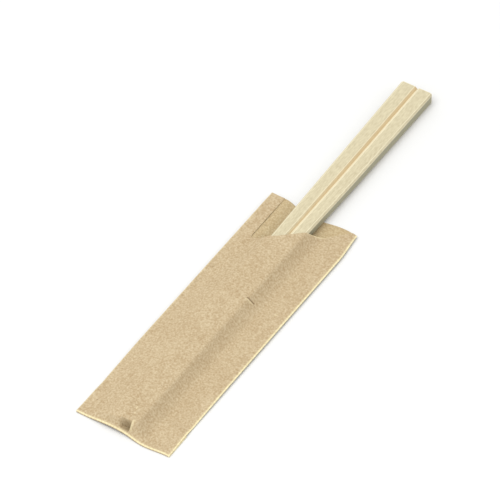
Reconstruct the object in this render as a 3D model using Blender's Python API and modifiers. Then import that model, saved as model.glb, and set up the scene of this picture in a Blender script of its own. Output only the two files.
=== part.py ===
"""Disposable wooden chopsticks, one unsplit pair in its half-length kraft paper sleeve.

Metres, +Z up. +Y runs from the closed end of the sleeve to the butts of the sticks, and +X runs
across the sleeve. The origin is the middle of the footprint, on the table. Both pieces are first
worked out from the sleeve's bottom fold, where y is zero, and then moved back by half the length.
"""

import math

import bmesh
import bpy
from mathutils import Vector

# Wooden pair: two sticks sawn from one strip and still joined towards their butts
PAIR_LENGTH = 0.180
BUTT_WIDTH = 0.0120
TIP_WIDTH = 0.0076
BUTT_THICKNESS = 0.0045
TIP_THICKNESS = 0.0030
EDGE_CHAMFER = 0.00065
END_ROUND = 0.0003
GROOVE_DEPTH = 0.00095
SLIT_WIDTH = 0.0005
SLIT_LENGTH = 0.088
CUT_OVERRUN = 0.002
PAIR_YAW = math.radians(0.62)

# Paper sleeve: one sheet, folded to a flat tube, lapped down the back, its bottom turned up
SLEEVE_WIDTH = 0.0360
SLEEVE_LENGTH = 0.1160
PAPER = 0.0001
LAYER_GAP = 0.00003
LAYERS = 3
SEAM_LAP = 0.0080
BOTTOM_FLAP = 0.0100
STEP_RUN = 0.0040

# Mouth: a slit beside the left fold, a small corner, a wide sweep and a straight slant
STRIP_WIDTH = 0.0054
MOUTH_DEPTH = 0.0214
MOUTH_CORNER_RADIUS = 0.0010
MOUTH_SWEEP_RADIUS = 0.0130

# How the sleeve lies over the sticks
TIP_GAP = 0.0029
SEAT_CLEARANCE = 0.0003
SIDE_GAP = 0.0003
END_CLOSE_RUN = 0.0050
SIDE_PULL = 0.0002
LEFT_FOLD_LIFT = 0.0011
RIGHT_FOLD_LIFT = 0.0006
FOLD_LIFT_REACH = 0.0400
CURL_START = 0.0008
LEFT_CURL_RUN = 0.0045
RIGHT_CURL_RUN = 0.0120
LEFT_SLOPE_START = 0.0010
RIGHT_SLOPE_RUN = 0.0050

# Wear at the bottom: the fold line bows up and out, and the paper is dented before the left tip
EDGE_LIFT = 0.0010
EDGE_REACH = 0.0080
EDGE_LIFT_HALF_WIDTH = 0.0120
EDGE_BULGE = 0.0007
EDGE_BULGE_PLACE = 0.0085
EDGE_BULGE_HALF_WIDTH = 0.0085
DENT_DEPTH = 0.0015
DENT_LONG_RUN = 0.0055
DENT_STEEP_RUN = 0.0014

# Places for the sheet's rows and columns, as shares of the stretch that each belongs to
FLAP_ROW_SHARES = (1.0, 0.6, 0.25)
END_ROW_SHARES = (0.15, 0.35, 0.55, 0.75, 1.0, 1.4, 2.0)
STEP_ROW_SHARES = (0.0, 0.5, 1.0)
INNER_SHARES = ((0.5, 1.0), (1.0,), (0.25, 0.5, 0.75, 1.0), (0.5, 1.0))
OUTER_SHARES = ((0.25, 0.5, 0.75, 1.0), (0.5, 1.0))
FRONT_SHARES = (
    (0.35, 0.7, 1.0),
    (0.07, 0.29, 0.62, 1.0),
    (0.35, 0.7, 1.0),
    (0.12, 0.24, 0.36, 0.47, 0.57, 0.65, 0.7, 0.75, 0.8, 0.88, 0.95, 1.0),
    (0.06, 0.14, 0.26, 0.44, 0.68, 1.0),
    (0.3, 0.65, 1.0),
)
DENT_PLACE_SHARE = 0.45
RISE_ROUNDING_SHARE = 0.22
SLOPE_POWER = 1.6
FOLD_STEPS = 4
BOTTOM_FOLD_STEPS = 6
BODY_ROWS = 9
MOUTH_ROWS = 6

WOOD_COLOUR = (0.78, 0.71, 0.49, 1.0)
KRAFT_COLOUR = (0.68, 0.54, 0.33, 1.0)
WOOD_ROUGHNESS = 0.6
KRAFT_ROUGHNESS = 0.85

HALF = 0.5
SAME_PLACE = 1e-6
SMOOTH_ANGLE = math.radians(30)

# Levels of the paper's mid-surface, counted up from the table where the turned-up flap lies under
# the back: flap front, flap inner, flap outer, outer back, inner back, front
LAYER_PITCH = PAPER + LAYER_GAP
LOWEST_LEVEL = PAPER * HALF
FOLD_RADIUS = (2 * LAYERS - 1) * LAYER_PITCH * HALF
FOLD_CENTRE_LEVEL = LOWEST_LEVEL + FOLD_RADIUS
SLIT_X = STRIP_WIDTH - SLEEVE_WIDTH * HALF
MOUTH_LOW = SLEEVE_LENGTH - MOUTH_DEPTH
SLIT_END = MOUTH_LOW + MOUTH_CORNER_RADIUS

# The underside of the pair clears the lapped back at the mouth and meets the table at the butts
SEAT_HEIGHT = LOWEST_LEVEL + LAYER_PITCH + PAPER * HALF + SEAT_CLEARANCE
RISE_END = TIP_GAP - SEAT_CLEARANCE
BUTT_Y = TIP_GAP + PAIR_LENGTH
PAIR_TILT = math.atan2(SEAT_HEIGHT, BUTT_Y - SLEEVE_LENGTH)
TIP_HEIGHT = PAIR_LENGTH * math.sin(PAIR_TILT)


def blend(start, end, share):
    return start + (end - start) * share


def smooth(value):
    """Rises from 0 to 1 with level ends."""
    value = min(max(value, 0.0), 1.0)
    return value * value * (3 - 2 * value)


def ramp(value, rounding):
    """Rises from 0 to 1 in a straight line whose ends are rounded over a share of its run."""
    value = min(max(value, 0.0), 1.0)
    if value > HALF:
        return 1 - ramp(1 - value, rounding)
    slope = 1 / (1 - rounding)
    if value < rounding:
        return slope * value * value / rounding * HALF
    return slope * (value - rounding * HALF)


def bump(offset, half_width):
    """1 in the middle and 0 from half_width away."""
    return smooth(1 - abs(offset) / half_width)


# The pair as the sleeve meets it, seen from the bottom fold


def pair_centre(y):
    return -math.tan(PAIR_YAW) * (y - TIP_GAP)


def pair_half_width(y):
    return HALF * blend(TIP_WIDTH, BUTT_WIDTH, (y - TIP_GAP) / PAIR_LENGTH)


def pair_top(y):
    share = (y - TIP_GAP) / PAIR_LENGTH
    underside = TIP_HEIGHT - math.tan(PAIR_TILT) * (y - TIP_GAP)
    return underside + blend(TIP_THICKNESS, BUTT_THICKNESS, share)


# Heights of the folded sheet


def back_step(y):
    """How much of the turned-up flap's thickness the back still carries at y."""
    return 1 - smooth((y - BOTTOM_FLAP) / STEP_RUN)


def outer_level(y):
    return LOWEST_LEVEL + LAYERS * LAYER_PITCH * back_step(y)


def inner_level(y):
    return outer_level(y) + LAYER_PITCH


def front_level(y):
    """The front's level beside the sticks: pressed down on the back at both ends."""
    opening = smooth(y / BOTTOM_FLAP) * smooth((SLEEVE_LENGTH - y) / END_CLOSE_RUN)
    return inner_level(y) + blend(LAYER_PITCH, SIDE_GAP, opening)


def flat_limits(y):
    """Where the back starts to curl up on each side of the pair."""
    reach = pair_half_width(y) + CURL_START
    return pair_centre(y) - reach, pair_centre(y) + reach


def lift(x, y):
    """How far the whole stack of layers is raised: the side folds, and the bowed bottom edge."""
    left, right = flat_limits(y)
    curl = LEFT_FOLD_LIFT * smooth((left - x) / LEFT_CURL_RUN)
    curl += RIGHT_FOLD_LIFT * smooth((x - right) / RIGHT_CURL_RUN)
    bow_place = pair_centre(y) - TIP_WIDTH * HALF
    bow = bump(x - bow_place, EDGE_LIFT_HALF_WIDTH) * bump(y, EDGE_REACH)
    return curl * smooth(y / FOLD_LIFT_REACH) + EDGE_LIFT * bow


def crest(y):
    """The crease where the front bends down past the right stick."""
    return pair_centre(y) + pair_half_width(y) - EDGE_CHAMFER * HALF


def slope_start(y):
    """Where the front leaves the left side: near the fold, but past the strip at the mouth."""
    near_fold = LEFT_SLOPE_START - SLEEVE_WIDTH * HALF
    return blend(near_fold, SLIT_X, smooth(y / MOUTH_LOW * 2 - 1))


def front_cover(x, y):
    """1 where the front lies on the sticks and 0 where it lies on the back."""
    left_end = pair_centre(y) - pair_half_width(y) + EDGE_CHAMFER * HALF
    rise = ramp((x - slope_start(y)) / (left_end - slope_start(y)), RISE_ROUNDING_SHARE)
    run = min(max((x - crest(y)) / RIGHT_SLOPE_RUN, 0.0), 1.0)
    return rise * (1 - run) ** SLOPE_POWER * smooth(y / RISE_END)


def dent(x, y):
    """Pressed in before the left tip, with its steep wall beside the slit between the tips."""
    offset = x - pair_centre(TIP_GAP)
    across = bump(offset, DENT_STEEP_RUN if offset > 0 else DENT_LONG_RUN)
    place = DENT_PLACE_SHARE * RISE_END
    return DENT_DEPTH * across * bump(y - place, RISE_END - place)


def bulge(x, y):
    """How far the bottom fold stands out past its straight line, on the right."""
    across = bump(x - EDGE_BULGE_PLACE, EDGE_BULGE_HALF_WIDTH)
    return EDGE_BULGE * across * bump(y, EDGE_REACH)


def front_height(x, y):
    low = front_level(y) + lift(x, y)
    high = pair_top(y) + SEAT_CLEARANCE + PAPER * HALF
    return blend(low, high, front_cover(x, y)) - dent(x, y)


# The mouth's outline, as the height of the front's upper edge at each x


def mouth_edge(x):
    """A small corner at the slit's foot, then a wide arc that runs on into a straight slant."""
    foot = SLIT_X + MOUTH_CORNER_RADIUS
    if x < foot:
        inside = MOUTH_CORNER_RADIUS ** 2 - (foot - x) ** 2
        return SLIT_END - math.sqrt(max(inside, 0.0))
    fold = panel_end(1, SLEEVE_LENGTH)
    end = Vector((fold - foot, MOUTH_DEPTH - MOUTH_SWEEP_RADIUS))
    slant = math.atan2(end.y, end.x) + math.pi / 2
    slant -= math.acos(MOUTH_SWEEP_RADIUS / end.length)
    if x - foot < MOUTH_SWEEP_RADIUS * math.sin(slant):
        fall = math.sqrt(MOUTH_SWEEP_RADIUS ** 2 - (x - foot) ** 2)
        return MOUTH_LOW + MOUTH_SWEEP_RADIUS - fall
    return SLEEVE_LENGTH - math.tan(slant) * (fold - x)


def sweep_meets_slit_end():
    """The x where the wide arc is back at the height of the slit's end."""
    rise = MOUTH_SWEEP_RADIUS - MOUTH_CORNER_RADIUS
    return SLIT_X + MOUTH_CORNER_RADIUS + math.sqrt(MOUTH_SWEEP_RADIUS ** 2 - rise ** 2)


# The folded section: each column of the sheet is a panel, or a fold, and a place on it


def fold_radius(side, y):
    back = inner_level(y) if side < 0 else outer_level(y)
    return (front_level(y) - back) * HALF


def panel_end(side, y):
    """Where a panel stops and its side fold starts, as x."""
    pull = SIDE_PULL * smooth(y / BOTTOM_FLAP) + fold_radius(side, y)
    return side * ((SLEEVE_WIDTH - PAPER) * HALF - pull)


def panel_lines(panel, y):
    """The x of the lines that the columns of a panel are spread between, in the sheet's order."""
    left, right = flat_limits(y)
    if panel == "inner":
        return (SEAM_LAP * HALF, -SEAM_LAP * HALF, left, left - LEFT_CURL_RUN, panel_end(-1, y))
    if panel == "outer":
        return (panel_end(1, y), right, -SEAM_LAP * HALF)
    corner = SLIT_X + MOUTH_CORNER_RADIUS
    slope_foot = crest(y) + RIGHT_SLOPE_RUN
    ends = panel_end(-1, y), panel_end(1, y)
    return (ends[0], SLIT_X, corner, sweep_meets_slit_end(), crest(y), slope_foot, ends[1])


def panel_columns(panel, segment_shares):
    first = [(panel, 0, 0.0)]
    return first + [
        (panel, segment, share)
        for segment, shares in enumerate(segment_shares)
        for share in shares
    ]


def fold_columns(side):
    return [(side, 0, step / FOLD_STEPS) for step in range(1, FOLD_STEPS)]


def sheet_columns():
    """From the free edge inside the lap, round the left fold, the front and the right fold."""
    return (
        panel_columns("inner", INNER_SHARES)
        + fold_columns(-1)
        + panel_columns("front", FRONT_SHARES)
        + fold_columns(1)
        + panel_columns("outer", OUTER_SHARES)
    )


def fold_place(side, share, y):
    """A place round a side fold: the left one runs up to the front, the right one down from it."""
    radius = fold_radius(side, y)
    end = panel_end(side, y)
    turn = math.pi * share
    middle = front_level(y) + lift(end, y) - radius
    return end + side * radius * math.sin(turn), middle + side * radius * math.cos(turn)


def section_place(column, y):
    """The x and z of a column of the sheet at y."""
    panel, segment, share = column
    if panel in (-1, 1):
        return fold_place(panel, share, y)
    lines = panel_lines(panel, y)
    x = blend(lines[segment], lines[segment + 1], share)
    if panel == "front":
        return x, front_height(x, y)
    level = inner_level(y) if panel == "inner" else outer_level(y)
    return x, level + lift(x, y)


# Rows of the sheet


def turned_rows():
    """Flap from its free edge to the fold, as distances, then round the bottom fold, as angles."""
    flap = [("flap", share * BOTTOM_FLAP) for share in FLAP_ROW_SHARES]
    steps = range(BOTTOM_FOLD_STEPS, -1, -1)
    return flap + [("fold", math.pi * step / BOTTOM_FOLD_STEPS) for step in steps]


def lower_rows():
    """Heights up to the slit's end."""
    body = BOTTOM_FLAP + STEP_RUN
    heights = [share * RISE_END for share in END_ROW_SHARES]
    heights += [BOTTOM_FLAP + share * STEP_RUN for share in STEP_ROW_SHARES]
    heights += [blend(body, SLIT_END, row / BODY_ROWS) for row in range(1, BODY_ROWS + 1)]
    return [("lower", y) for y in sorted(heights)]


def sheet_rows():
    upper = [("upper", row / MOUTH_ROWS) for row in range(1, MOUTH_ROWS + 1)]
    return turned_rows() + lower_rows() + upper


def column_top(column):
    """Where a column's upper edge is: the sleeve's end, or the mouth on the front."""
    panel, segment, _ = column
    if panel != "front" or segment == 0:
        return SLEEVE_LENGTH
    x, _ = section_place(column, SLIT_END)
    return min(mouth_edge(x), SLEEVE_LENGTH)


def turned_place(column, kind, value):
    """A place on the bottom fold or on the flap under the back."""
    x, z = section_place(column, 0.0)
    middle = FOLD_CENTRE_LEVEL + lift(x, 0.0)
    radius = z - middle
    if kind == "fold":
        y = -radius * math.sin(value) - bulge(x, 0.0)
        return Vector((x, y, middle + radius * math.cos(value)))
    return Vector((x, value - bulge(x, value), FOLD_CENTRE_LEVEL + lift(x, value) - radius))


def folded_place(column, row):
    kind, value = row
    if kind in ("flap", "fold"):
        return turned_place(column, kind, value)
    top = column_top(column)
    shoulder = min(top, SLIT_END)
    if kind == "upper":
        y = blend(shoulder, top, value)
    else:
        y = value - (SLIT_END - shoulder) * smooth(value / SLIT_END * 2 - 1)
    x, z = section_place(column, y)
    return Vector((x, y - bulge(x, y), z))


def in_mouth(columns, left, row):
    """Whether the sheet is cut away between this column and the next, in this row."""
    panel, segment, share = columns[left]
    at_slit = segment == 0 and share == FRONT_SHARES[0][-1]
    before_sweep = segment == 2 and share < FRONT_SHARES[2][-1]
    return row[0] == "upper" and panel == "front" and (at_slit or segment == 1 or before_sweep)


# Making the objects


def add_material(name, colour, roughness):
    material = bpy.data.materials.new(name)
    material.use_nodes = True
    shader = material.node_tree.nodes["Principled BSDF"]
    shader.inputs["Base Color"].default_value = colour
    shader.inputs["Roughness"].default_value = roughness
    shader.inputs["Metallic"].default_value = 0.0
    material.diffuse_color = colour
    return material


def add_object(name, shape, collection, material=None):
    mesh = bpy.data.meshes.new(name)
    shape.to_mesh(mesh)
    shape.free()
    if material:
        mesh.materials.append(material)
    made = bpy.data.objects.new(name, mesh)
    collection.objects.link(made)
    return made


def footprint_shift():
    """Half way from the bottom fold's outer face to the butts."""
    fold_face = -(FOLD_RADIUS + PAPER * HALF + EDGE_BULGE)
    reach = TIP_GAP + PAIR_LENGTH * math.cos(PAIR_YAW) * math.cos(PAIR_TILT)
    corner = (BUTT_WIDTH * HALF - EDGE_CHAMFER) * math.sin(PAIR_YAW)
    return -HALF * (fold_face + reach + corner)


def sleeve_sheet():
    """A flat grid is the sheet: the mouth is cut from it and each point goes to its folded place."""
    columns, rows = sheet_columns(), sheet_rows()
    across, along = len(columns) - 1, len(rows) - 1
    sheet = bmesh.new()
    bmesh.ops.create_grid(sheet, x_segments=across, y_segments=along, size=HALF)
    places = {v: (round((v.co.x + HALF) * across), round((v.co.y + HALF) * along)) for v in sheet.verts}
    cut = []
    for face in sheet.faces:
        left = min(places[v][0] for v in face.verts)
        upper = max(places[v][1] for v in face.verts)
        if in_mouth(columns, left, rows[upper]):
            cut.append(face)
    bmesh.ops.delete(sheet, geom=cut, context="FACES")
    for vert in sheet.verts:
        column, row = places[vert]
        vert.co = folded_place(columns[column], rows[row])
    bmesh.ops.remove_doubles(sheet, verts=sheet.verts, dist=SAME_PLACE)
    bmesh.ops.recalc_face_normals(sheet, faces=sheet.faces)
    return sheet


def add_paper_sleeve(collection):
    material = add_material("unbleached_kraft_paper", KRAFT_COLOUR, KRAFT_ROUGHNESS)
    sleeve = add_object("paper_sleeve", sleeve_sheet(), collection, material)
    sleeve.location.y = footprint_shift()
    wall = sleeve.modifiers.new("paper thickness", "SOLIDIFY")
    wall.thickness = PAPER
    wall.offset = 0.0
    wall.use_even_offset = True
    sleeve.data.shade_smooth()
    sleeve.data.set_sharp_from_angle(angle=SMOOTH_ANGLE)
    return sleeve


def runs_along(edge):
    start, end = (vert.co.y for vert in edge.verts)
    return abs(start - end) > SAME_PLACE


def is_at_end(edge):
    return any(
        all(abs(vert.co.y - end) < SAME_PLACE for vert in edge.verts)
        for end in (0.0, PAIR_LENGTH)
    )


def pair_blank():
    """The tapered strip before sawing: underside level, tips at y zero, long edges chamfered."""
    blank = bmesh.new()
    bmesh.ops.create_cube(blank, size=1)
    for vert in blank.verts:
        share = vert.co.y + HALF
        width = blend(TIP_WIDTH, BUTT_WIDTH, share)
        thickness = blend(TIP_THICKNESS, BUTT_THICKNESS, share)
        vert.co = Vector((vert.co.x * width, share * PAIR_LENGTH, (vert.co.z + HALF) * thickness))
    long_edges = [edge for edge in blank.edges if runs_along(edge)]
    bmesh.ops.bevel(blank, geom=long_edges, offset=EDGE_CHAMFER, segments=1, affect="EDGES")
    ends = [edge for edge in blank.edges if is_at_end(edge)]
    bmesh.ops.bevel(blank, geom=ends, offset=END_ROUND, segments=2, profile=HALF, affect="EDGES")
    return blank


def groove_bar():
    """A square bar on its corner, along +Y, that cuts a right-angled groove to half its width."""
    bar = bmesh.new()
    length = PAIR_LENGTH + 2 * CUT_OVERRUN
    bmesh.ops.create_cone(
        bar,
        cap_ends=True,
        segments=4,
        radius1=GROOVE_DEPTH,
        radius2=GROOVE_DEPTH,
        depth=length,
    )
    for vert in bar.verts:
        vert.co = Vector((vert.co.x, vert.co.z, -vert.co.y))
    bmesh.ops.recalc_face_normals(bar, faces=bar.faces)
    return bar


def slit_blade():
    """The saw cut that parts the sticks from their tips, right through the thickness."""
    blade = bmesh.new()
    bmesh.ops.create_cube(blade, size=1)
    height = BUTT_THICKNESS + 2 * CUT_OVERRUN
    for vert in blade.verts:
        y = blend(-CUT_OVERRUN, SLIT_LENGTH, vert.co.y + HALF)
        vert.co = Vector((vert.co.x * SLIT_WIDTH, y, vert.co.z * height + BUTT_THICKNESS * HALF))
    return blade


def cut_with(pair, name, shape, cutters):
    cutter = add_object(name, shape, cutters)
    cutter.parent = pair
    cutter.hide_render = True
    cutter.display_type = "WIRE"
    cut = pair.modifiers.new(name, "BOOLEAN")
    cut.operation = "DIFFERENCE"
    cut.solver = "EXACT"
    cut.object = cutter
    return cutter


def add_chopstick_pair(collection, cutters):
    material = add_material("planed_aspen", WOOD_COLOUR, WOOD_ROUGHNESS)
    pair = add_object("chopstick_pair", pair_blank(), collection, material)
    pair.location = (0.0, TIP_GAP + footprint_shift(), TIP_HEIGHT)
    pair.rotation_euler = (-PAIR_TILT, 0.0, PAIR_YAW)
    top_slope = math.atan2(BUTT_THICKNESS - TIP_THICKNESS, PAIR_LENGTH)
    middle = PAIR_LENGTH * HALF
    under = cut_with(pair, "lower_groove", groove_bar(), cutters)
    under.location = (0.0, middle, 0.0)
    over = cut_with(pair, "upper_groove", groove_bar(), cutters)
    over.location = (0.0, middle, (BUTT_THICKNESS + TIP_THICKNESS) * HALF)
    over.rotation_euler.x = top_slope
    cut_with(pair, "tip_slit", slit_blade(), cutters)
    return pair


def add_collection(name):
    collection = bpy.data.collections.new(name)
    bpy.context.scene.collection.children.link(collection)
    return collection


def main():
    for old in list(bpy.data.objects):
        bpy.data.objects.remove(old)
    collection = add_collection("sleeved_chopsticks")
    cutters = add_collection("cutters")
    add_chopstick_pair(collection, cutters)
    add_paper_sleeve(collection)


main()
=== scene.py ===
# %% [markdown]
# # Disposable chopsticks in a paper sleeve
#
# The object is two pieces: an unsplit pair of aspen sticks, and the kraft paper sleeve that they
# are served in. The solids of both are already made, at their real size. This script dresses
# them: it builds a finer sleeve and finer sticks on the same sizes, gives each a finish, and
# lights and frames them.
#
# We start by loading those solids as a fixed frame. Everything after this is in metres, with +Y
# along the sleeve towards the butts of the sticks and +Z up from the table.

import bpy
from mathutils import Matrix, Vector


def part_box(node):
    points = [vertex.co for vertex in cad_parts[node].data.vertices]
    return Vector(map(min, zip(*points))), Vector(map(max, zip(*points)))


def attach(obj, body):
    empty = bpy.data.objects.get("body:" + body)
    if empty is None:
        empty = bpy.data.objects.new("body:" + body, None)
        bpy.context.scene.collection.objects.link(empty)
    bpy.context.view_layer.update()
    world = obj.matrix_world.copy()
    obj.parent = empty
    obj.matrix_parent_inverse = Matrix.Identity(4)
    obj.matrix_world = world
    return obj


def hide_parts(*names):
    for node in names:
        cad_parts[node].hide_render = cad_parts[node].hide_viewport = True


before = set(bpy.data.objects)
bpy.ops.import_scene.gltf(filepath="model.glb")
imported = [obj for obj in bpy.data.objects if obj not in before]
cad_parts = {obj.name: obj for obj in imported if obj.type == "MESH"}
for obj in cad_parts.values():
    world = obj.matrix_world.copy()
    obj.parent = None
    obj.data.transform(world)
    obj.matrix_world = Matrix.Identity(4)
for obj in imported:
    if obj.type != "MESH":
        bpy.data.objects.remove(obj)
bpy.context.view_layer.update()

# %% Modules and units
import math
from types import SimpleNamespace

import bmesh
import bpy
from mathutils import Matrix, Vector
from mathutils.noise import noise as noise_at

MM = 0.001
HALF = 0.5


def in_mm(length):
    return round(length / MM, 2)


# %% [markdown]
# ## Two helpers for node trees
#
# Materials and Geometry Nodes are both trees of nodes, so one small function serves both: it adds
# a node, sets its settings, and feeds each of its inputs with a plain value or with a link.
#
# A shape that follows a formula needs dozens of Math nodes, and wiring those by hand hides the
# formula. `Field` puts the formula back: it wraps one output socket, and `a + b` on two of them
# adds a Math node. So the code below reads like school algebra, and the tree it makes can still
# be opened and followed in Blender.

# %% Add a node
def add_node(tree, kind, inputs=None, **settings):
    """Adds one node. inputs maps a socket's name or number to a value, a socket or a Field."""
    node = tree.nodes.new(kind)
    for name, value in settings.items():
        setattr(node, name, value)
    for name, value in (inputs or {}).items():
        value = getattr(value, "socket", value)
        if isinstance(value, bpy.types.NodeSocket):
            tree.links.new(value, node.inputs[name])
        else:
            node.inputs[name].default_value = value
    return node


# %% A number that varies over a surface
class Field:
    """One output socket of a tree, with ordinary arithmetic."""

    def __init__(self, tree, socket):
        self.tree, self.socket = tree, socket

    def calculate(self, operation, *values):
        inputs = dict(enumerate(values))
        node = add_node(self.tree, "ShaderNodeMath", inputs, operation=operation)
        return Field(self.tree, node.outputs[0])

    def math(self, operation, *others):
        return self.calculate(operation, self, *others)

    def __add__(self, other):
        return self.math("ADD", other)

    def __sub__(self, other):
        return self.math("SUBTRACT", other)

    def __mul__(self, other):
        return self.math("MULTIPLY", other)

    def __truediv__(self, other):
        return self.math("DIVIDE", other)

    def __pow__(self, other):
        return self.math("POWER", other)

    def __gt__(self, other):
        return self.math("GREATER_THAN", other)

    def __lt__(self, other):
        return self.math("LESS_THAN", other)

    def __radd__(self, other):
        return self.calculate("ADD", other, self)

    def __rsub__(self, other):
        return self.calculate("SUBTRACT", other, self)

    def __rmul__(self, other):
        return self.calculate("MULTIPLY", other, self)

    def over(self, start, end, kind="LINEAR", low=0.0, high=1.0):
        """Goes from low to high while this goes from start to end, and stays there outside."""
        values = {"Value": self, "From Min": start, "From Max": end, "To Min": low, "To Max": high}
        node = add_node(self.tree, "ShaderNodeMapRange", values, interpolation_type=kind)
        return Field(self.tree, node.outputs[0])


def blend(start, end, share):
    return start + (end - start) * share


def smooth(value):
    """Rises from 0 to 1 with level ends."""
    return value.over(0.0, 1.0, "SMOOTHSTEP")


def bump(offset, half_width):
    """1 in the middle and 0 from half_width away."""
    return smooth(1 - offset.math("ABSOLUTE") / half_width)


# %% [markdown]
# ## Running a Geometry Nodes tree
#
# Each tree below has named inputs for its sizes, so that a reader can open it and turn them. A
# modifier keeps an input's value under the socket's identifier, not under its name, so the values
# are set by identifier. The result is then turned into a plain mesh, with its place in its points.

# %% Open and close a tree
SOCKETS = {float: "NodeSocketFloat", int: "NodeSocketInt", bpy.types.Material: "NodeSocketMaterial"}


def open_tree(name, values):
    """A new tree, its start geometry, and its named inputs as fields."""
    tree = bpy.data.node_groups.new(name, "GeometryNodeTree")
    face = tree.interface
    face.new_socket("Geometry", in_out="OUTPUT", socket_type="NodeSocketGeometry")
    face.new_socket("Geometry", in_out="INPUT", socket_type="NodeSocketGeometry")
    for label, value in values.items():
        face.new_socket(label.replace("_", " "), in_out="INPUT", socket_type=SOCKETS[type(value)])
    sources = add_node(tree, "NodeGroupInput").outputs
    fields = {label: Field(tree, sources[n + 1]) for n, label in enumerate(values)}
    return tree, sources[0], SimpleNamespace(**fields)


def close_tree(tree, geometry, material):
    real = add_node(tree, "GeometryNodeRealizeInstances", {"Geometry": geometry})
    dressed = add_node(
        tree, "GeometryNodeSetMaterial", {"Geometry": real.outputs[0], "Material": material}
    )
    add_node(tree, "NodeGroupOutput", {0: dressed.outputs[0]})
    print(tree.name, "has", len(tree.nodes), "nodes")


# %% Run a tree
def add_object(name, mesh):
    made = bpy.data.objects.new(name, mesh)
    bpy.context.scene.collection.objects.link(made)
    return made


def run_tree(tree, values, start):
    """Puts the tree on an object with the start mesh, and sets its inputs by identifier."""
    holder = add_object("holder", start)
    modifier = holder.modifiers.new(tree.name, "NODES")
    modifier.node_group = tree
    inputs = [i for i in tree.interface.items_tree if i.in_out == "INPUT"][1:]
    for item, value in zip(inputs, values.values()):
        modifier[item.identifier] = value
    return holder


def plain_mesh(source):
    """The evaluated shape of an object as a mesh of its own; the object itself is removed."""
    graph = bpy.context.evaluated_depsgraph_get()
    mesh = bpy.data.meshes.new_from_object(source.evaluated_get(graph))
    bpy.data.objects.remove(source)
    return mesh


# %% [markdown]
# ## Sizes
#
# These are the real sizes of the two pieces. The sleeve is a common half-length one, 36 by 116
# mm, and the pair is a six-sun one, 180 mm. Where a place can be measured on the loaded solids it
# is. The small lifts, pulls and sags of the paper are given one by one.

# %% Sizes of the pair and the sleeve
PAIR_LENGTH = 180 * MM
BUTT_WIDTH, TIP_WIDTH = 12 * MM, 7.6 * MM
BUTT_THICKNESS, TIP_THICKNESS = 4.5 * MM, 3 * MM
EDGE_CHAMFER = 0.65 * MM
GROOVE_DEPTH = 0.95 * MM
PAIR_YAW = math.radians(0.62)
TIP_GAP = 2.9 * MM

PAPER = 0.1 * MM
LAYERS = 3
SLEEVE = {
    "width": 36 * MM,
    "length": 116 * MM,
    "paper": PAPER,
    "layer_pitch": 0.13 * MM,
    "seam_lap": 8 * MM,
    "bottom_flap": 10 * MM,
    "step_run": 4 * MM,
    "strip_width": 5.4 * MM,
    "mouth_depth": 21.4 * MM,
    "corner_radius": 1 * MM,
    "sweep_radius": 13 * MM,
    "clearance": 0.3 * MM,
    "side_gap": 0.3 * MM,
    "end_close_run": 5 * MM,
    "side_pull": 0.2 * MM,
    "mouth_pull": 1.0 * MM,
    "mouth_pull_reach": 14 * MM,
    "left_lift": 1.1 * MM,
    "right_lift": 0.6 * MM,
    "lift_reach": 40 * MM,
    "edge_lift": 1 * MM,
    "edge_bulge": 0.7 * MM,
    "dent_share": 0.93,
    "ridge_height": 0.2 * MM,
    "cockle_depth": 0.12 * MM,
}

# %% Places measured on the solids
SLEEVE_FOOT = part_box("paper_sleeve")[1].y - SLEEVE["length"]
PAIR_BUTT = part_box("chopstick_pair")[1].y
SEAT_HEIGHT = PAPER + SLEEVE["layer_pitch"] + SLEEVE["clearance"]
BUTT_Y = TIP_GAP + PAIR_LENGTH
PAIR_TILT = math.atan2(SEAT_HEIGHT, BUTT_Y - SLEEVE["length"])
print("bottom fold at y", in_mm(SLEEVE_FOOT), "mm, butts at y", in_mm(PAIR_BUTT), "mm")

# %% [markdown]
# ## The table, the light and the camera
#
# The sleeve is brown and matt, and the wood is nearly white, so both want even light: a bright
# surround, and one large soft lamp high up, a little to the left and front, that models the groove
# and the raised paper. The floor is a painted table, plain, pale and matt, so all that the eye finds
# on it is the object's soft shadow. A long lens from far away keeps the sleeve's sides nearly
# parallel.

# %% Colours and materials
def colour(code):
    """An sRGB hex value as linear red, green, blue and alpha, by the sRGB standard's formula."""
    parts = [int(code[i:i + 2], 16) / 255 for i in (1, 3, 5)]
    linear = [p / 12.92 if p <= 0.04045 else ((p + 0.055) / 1.055) ** 2.4 for p in parts]
    return (*linear, 1.0)


def new_material(name, surface):
    """A material, its tree and its shader's inputs. surface holds the values that don't vary."""
    material = bpy.data.materials.new(name)
    material.use_nodes = True
    shader = material.node_tree.nodes["Principled BSDF"].inputs
    for socket, value in surface.items():
        shader[socket].default_value = value
    return material, material.node_tree, shader


# %% Floor
FLOOR_SIZE = 6.0
FLOOR_SURFACE = {
    "Base Color": colour("#D8D8D7"),
    "Roughness": 0.9,
    "Specular IOR Level": 0.2,
}


def add_floor():
    shape = bmesh.new()
    bmesh.ops.create_grid(shape, x_segments=1, y_segments=1, size=FLOOR_SIZE * HALF)
    mesh = bpy.data.meshes.new("floor")
    shape.to_mesh(mesh)
    shape.free()
    mesh.materials.append(new_material("painted_table", FLOOR_SURFACE)[0])
    return add_object("floor", mesh)


floor = add_floor()
print("floor:", FLOOR_SIZE, "m square")

# %% Lights
LAMP_DISTANCE = 1.2
LAMP_SIZE = 0.9
LAMP_WATTS = 8.6
LAMP_DIRECTION = Vector((-0.16, -0.33, 0.92))
SURROUND_STRENGTH = 1.06
SURROUND_COLOUR = "#FFFFFF"


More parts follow.
